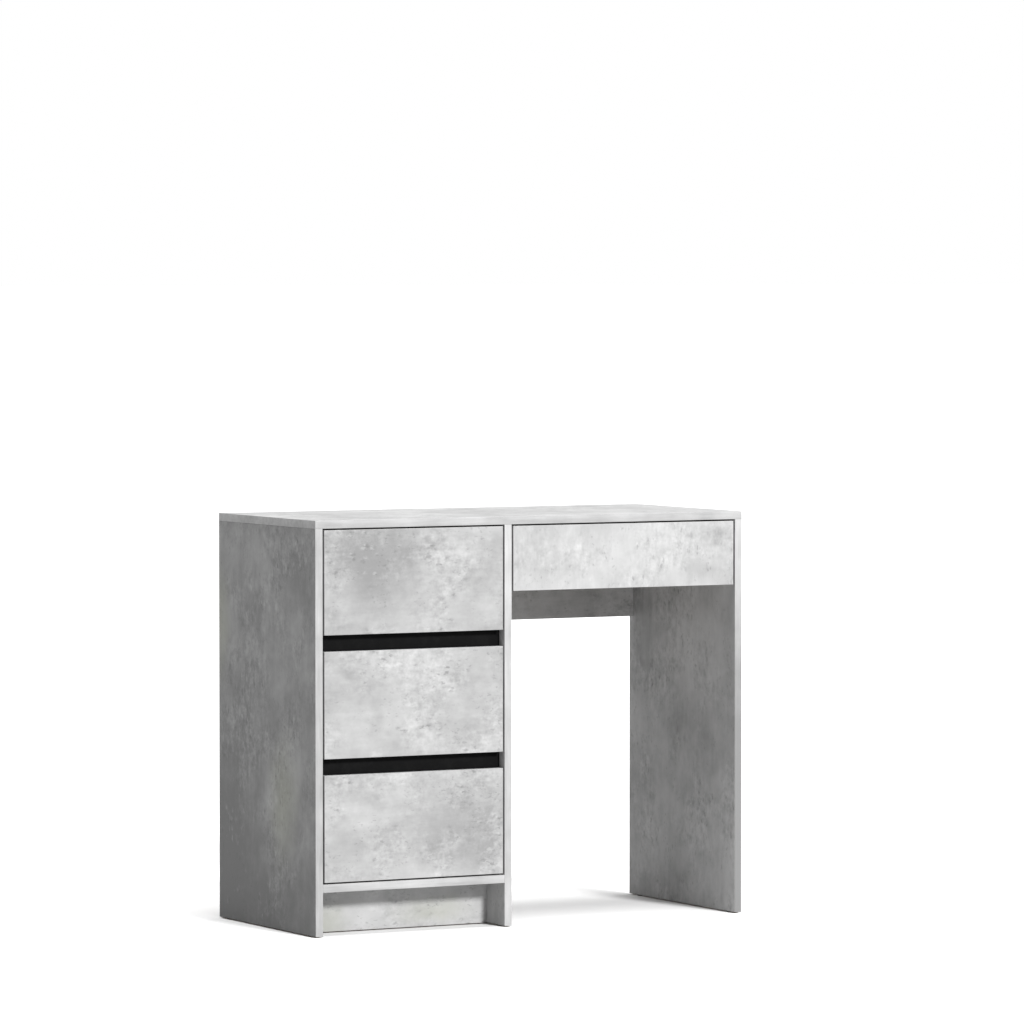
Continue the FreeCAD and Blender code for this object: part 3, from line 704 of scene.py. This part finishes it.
class DESK_OT_finish_carcass(Operator):
    """Gives the desktop, uprights and panels their concrete laminate"""

    bl_idname = "desk.finish_carcass"
    bl_label = "Carcass boards"

    def execute(self, context):
        # The desktop's lift is painted light: its print is made paler, as for a top that the light falls
        # on.
        paint("desktop", concrete_laminate("concrete_desktop", (3.1, 0.7, 0.2), ACROSS, lift=0.06))
        places = ((0.35, 0.2, 1.7), (1.3, 2.1, 0.4), (2.6, 0.9, 3.2))
        looks = (
            # The left side's negative lift and its shade are painted shade, as on a side out of the
            # light.
            {"lift": -0.10, "strength": 1.2, "shade": 0.77, "clouds": LEFT_CLOUDS_AND_SHADE, "moss": LEFT_MOSS},
            {"strength": 1.1},
            # The right upright's lift is painted light: paler print brightens its inner face, which is in
            # shade.
            {"lift": 0.10, "strength": 1.3, "clouds": RIGHT_CLOUDS},
        )
        for node, place, look in zip(UPRIGHTS, places, looks):
            paint(node, concrete_laminate("concrete_" + node, place, UPWARD, bare=-UPWARD, **look))
        bottom = concrete_laminate("concrete_bottom", (4.2, 1.1, 0.6), ACROSS, bare=BACKWARD)
        paint("pedestal_bottom_panel", bottom)
        look = {"bare": -UPWARD, "lift": 0.18, "moss": PLINTH_MOSS}
        paint("plinth", concrete_laminate("concrete_plinth", (5.3, 0.8, 2.4), ACROSS, **look))
        # The modesty panel's lift is painted light: paler print for a panel in shade under the wide
        # drawer.
        modesty = concrete_laminate("concrete_modesty", (0.9, 4.4, 1.3), ACROSS, lift=0.10, strength=1.6)
        paint("modesty_panel", modesty)
        return {"FINISHED"}


class DESK_OT_finish_fronts(Operator):
    """Gives each drawer front its own cut of the concrete laminate"""

    bl_idname = "desk.finish_fronts"
    bl_label = "Drawer fronts"

    def execute(self, context):
        for turn, drawer in enumerate(DRAWERS):
            place = (1.9 + 2.3 * turn, 3.3 - 0.7 * turn, 0.8 + 1.7 * turn)
            along = UPWARD if drawer == "wide_drawer" else ACROSS
            lift, clouds = FRONT_CLOUDS[drawer]
            material = concrete_laminate("concrete_" + drawer, place, along, lift=lift, clouds=clouds)
            paint(drawer + "_front_panel", material)
        return {"FINISHED"}


class DESK_OT_finish_rails(Operator):
    """Gives the rails behind the finger gaps their black laminate"""

    bl_idname = "desk.finish_rails"
    bl_label = "Black rails"

    def execute(self, context):
        material = black_laminate()
        for node in ("upper_black_rail", "lower_black_rail"):
            paint(node, material)
        return {"FINISHED"}


class DESK_OT_finish_boxes(Operator):
    """Gives the drawer sides, backs and bottoms and the pedestal's back their finish"""

    bl_idname = "desk.finish_boxes"
    bl_label = "Drawer boxes and hardboard"

    def execute(self, context):
        side = box_melamine("melamine_side", (0.4, 0.1, 0.9), bare=-UPWARD)
        back = box_melamine("melamine_back", (1.7, 0.6, 0.2), bare=-UPWARD)
        base = hardboard("hardboard_bottom", bare=-UPWARD)
        for drawer in DRAWERS:
            paint(drawer + "_left_side", side)
            paint(drawer + "_right_side", side)
            paint(drawer + "_back", back)
            paint(drawer + "_bottom", base)
        paint("pedestal_back", hardboard("hardboard_back", bare=BACKWARD))
        return {"FINISHED"}


class DESK_OT_finish_fittings(Operator):
    """Gives the runners, cams, bolts, screws, nails, dowels and glides their finish"""

    bl_idname = "desk.finish_fittings"
    bl_label = "Runners and fittings"

    def execute(self, context):
        colours = context.scene.desk_colours
        runner = runner_paint()
        plated = bare_metal("zinc_plated", colours.zinc, 0.28, 0.1)
        cast = bare_metal("zinc_cast", colours.zinc_cast, 0.42, 0.5)
        for drawer in DRAWERS:
            paint(drawer + "_runners", runner)
            paint(drawer + "_cabinet_runners", runner)
            paint(drawer + "_screws", plated)
            paint(drawer + "_cam_locks", cast)
        paint("carcass_cams", cast)
        for node in ("carcass_cam_bolts", "cabinet_runner_screws", "back_panel_nails"):
            paint(node, plated)
        paint("dowels", dowel_beech())
        paint("floor_glides", glide_plastic())
        return {"FINISHED"}


class DESK_OT_add_carcass_bands(Operator):
    """Adds the edge bands of the desktop, uprights, pedestal bottom and modesty panel"""

    bl_idname = "desk.add_carcass_bands"
    bl_label = "Carcass edge bands"

    def execute(self, context):
        level = band_laminate("band_level", (0.3, 1.9, 0.8), ACROSS)
        front, back = -BACKWARD, BACKWARD
        add_band("desktop", (front, back, -ACROSS, ACROSS), level, "carcass")
        # The right upright's band alone gets painted shade that darkens it towards the floor.
        for node, lift, painted_floor_shade in zip(UPRIGHTS, (-0.06, 0.06, 0.06), (0, 0, 0.85)):
            upright = band_laminate("band_" + node, (1.1, 0.4, 2.2), UPWARD, lift, painted_floor_shade)
            add_band(node, (front, back), upright, "carcass")
        add_band("pedestal_bottom_panel", (front,), level, "carcass")
        add_band("modesty_panel", (-UPWARD,), level, "carcass")
        return {"FINISHED"}


class DESK_OT_add_front_bands(Operator):
    """Adds the edge bands round each drawer front"""

    bl_idname = "desk.add_front_bands"
    bl_label = "Drawer front edge bands"

    def execute(self, context):
        material = band_laminate("band_front", (2.7, 0.5, 1.4), BACKWARD)
        for drawer in DRAWERS:
            add_band(drawer + "_front_panel", (UPWARD, -UPWARD, -ACROSS, ACROSS), material, drawer)
        return {"FINISHED"}


class DESK_OT_add_rollers(Operator):
    """Models one nylon roller for each end of each drawer's axle lines"""

    bl_idname = "desk.add_rollers"
    bl_label = "Drawer rollers"

    def execute(self, context):
        material = roller_nylon()
        for drawer in DRAWERS:
            for kind in ("tail", "lead"):
                node = f"{drawer}_{kind}_rollers"
                low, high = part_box(node)
                width = roller_width(node)
                left = add_roller(low, Vector((low.x + width, high.y, high.z)))
                right = add_roller(Vector((high.x - width, low.y, low.z)), high)
                pair = joined([left, right], node + "_nylon", material, node + "_body")
                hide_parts(node)
        return {"FINISHED"}


def roller_width(node):
    """Width of one roller of a pair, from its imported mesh."""
    low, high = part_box(node)
    middle = (low.x + high.x) / 2
    return max(v.co.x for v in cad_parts[node].data.vertices if v.co.x < middle) - low.x


class DESK_OT_add_studio(Operator):
    """Adds a pale floor, a soft front light, a soft overhead light and the camera"""

    bl_idname = "desk.add_studio"
    bl_label = "Studio"

    def execute(self, context):
        studio = context.scene.desk_studio
        add_floor(context)
        add_sun("key_light", studio.key_strength, (-0.14, 1.0, -0.50), studio.key_spread)
        add_sun("top_light", studio.top_strength, (0.0, 0.12, -1.0), studio.top_spread)
        light_surroundings(context)
        add_camera(context)
        return {"FINISHED"}


def add_floor(context):
    """A pale floor that lights the desk with its own, darker grey."""
    bpy.ops.object.select_all(action="DESELECT")
    width = context.scene.desk_studio.floor_width
    bpy.ops.mesh.primitive_plane_add(size=width, location=(0, 0, CAD_BOX[0].z))
    floor = context.active_object
    floor.name = "studio_floor"
    s = Shader("floor_paint", Specular_IOR_Level=0.1)
    cloud = s.noise(s.space, 0.8)
    grey = context.scene.desk_colours.floor
    shown = s.add("ShaderNodeLightPath", output="Is Camera Ray")
    base = s.mix(cloud, scaled(grey, 0.99), grey)
    base = s.mix(shown, context.scene.desk_colours.floor_bounce, base)
    floor.data.materials.append(s.finish(base, 0.9 + (cloud - 0.5) * 0.1, cloud, 0.0001))


def add_sun(name, strength, toward, spread):
    """A sun that shines along toward, softer with more spread."""
    turn = Vector(toward).to_track_quat("-Z", "Y").to_euler()
    bpy.ops.object.light_add(type="SUN", rotation=turn, location=(0, 0, 3))
    sun = bpy.context.active_object
    sun.name = name
    sun.data.energy = strength
    sun.data.angle = spread


def light_surroundings(context):
    """A surround that shows white, and that lights the desk at the ambient strength."""
    world = bpy.data.worlds.new("studio_surround")
    world.use_nodes = True
    context.scene.world = world
    nodes = Nodes(world.node_tree)
    shown = nodes.add("ShaderNodeLightPath", output="Is Camera Ray")
    strengths = {"Value": shown, "To Min": context.scene.desk_studio.ambient, "To Max": 1.0}
    background = world.node_tree.nodes["Background"].inputs
    nodes.feed(background["Strength"], nodes.add("ShaderNodeMapRange", None, strengths))
    nodes.feed(background["Color"], opaque((1, 1, 1)))
    context.scene.view_settings.view_transform = "Standard"


def add_camera(context):
    """The camera, in front of the desk and to its left."""
    studio = context.scene.desk_studio
    place = (-studio.camera_side, -studio.camera_distance, studio.camera_height)
    turn = (math.pi / 2 - studio.pitch, 0, -studio.yaw)
    bpy.ops.object.camera_add(location=place, rotation=turn)
    camera = context.active_object
    camera.name = "studio_camera"
    camera.data.lens = studio.lens
    camera.data.sensor_width = studio.sensor
    camera.data.clip_end = studio.camera_reach
    context.scene.camera = camera


# ---- panel and registration ----------------------------------------------------------------------

STEPS = (
    DESK_OT_finish_carcass,
    DESK_OT_finish_fronts,
    DESK_OT_finish_rails,
    DESK_OT_finish_boxes,
    DESK_OT_finish_fittings,
    DESK_OT_add_carcass_bands,
    DESK_OT_add_front_bands,
    DESK_OT_add_rollers,
    DESK_OT_add_studio,
)


class DESK_PT_sidebar(Panel):
    """Sizes, colours and steps of the desk"""

    bl_idname = "DESK_PT_sidebar"
    bl_label = "Writing desk"
    bl_space_type = "VIEW_3D"
    bl_region_type = "UI"
    bl_category = "Desk"

    def draw(self, context):
        for group in (context.scene.desk_sizes, context.scene.desk_colours, context.scene.desk_studio):
            box = self.layout.box()
            for name in group.__annotations__:
                box.prop(group, name)
        for step in STEPS:
            self.layout.operator(step.bl_idname)


CLASSES = (DeskSizes, DeskColours, DeskStudio, *STEPS, DESK_PT_sidebar)
GROUPS = {"desk_sizes": DeskSizes, "desk_colours": DeskColours, "desk_studio": DeskStudio}


def register():
    for item in CLASSES:
        bpy.utils.register_class(item)
    for name, group in GROUPS.items():
        setattr(bpy.types.Scene, name, PointerProperty(type=group))


def unregister():
    for name in GROUPS:
        delattr(bpy.types.Scene, name)
    for item in reversed(CLASSES):
        bpy.utils.unregister_class(item)


def main():
    register()
    bpy.ops.desk.finish_carcass()
    bpy.ops.desk.finish_fronts()
    bpy.ops.desk.finish_rails()
    bpy.ops.desk.finish_boxes()
    bpy.ops.desk.finish_fittings()
    bpy.ops.desk.add_carcass_bands()
    bpy.ops.desk.add_front_bands()
    bpy.ops.desk.add_rollers()
    bpy.ops.desk.add_studio()


if __name__ == "__main__":
    main()
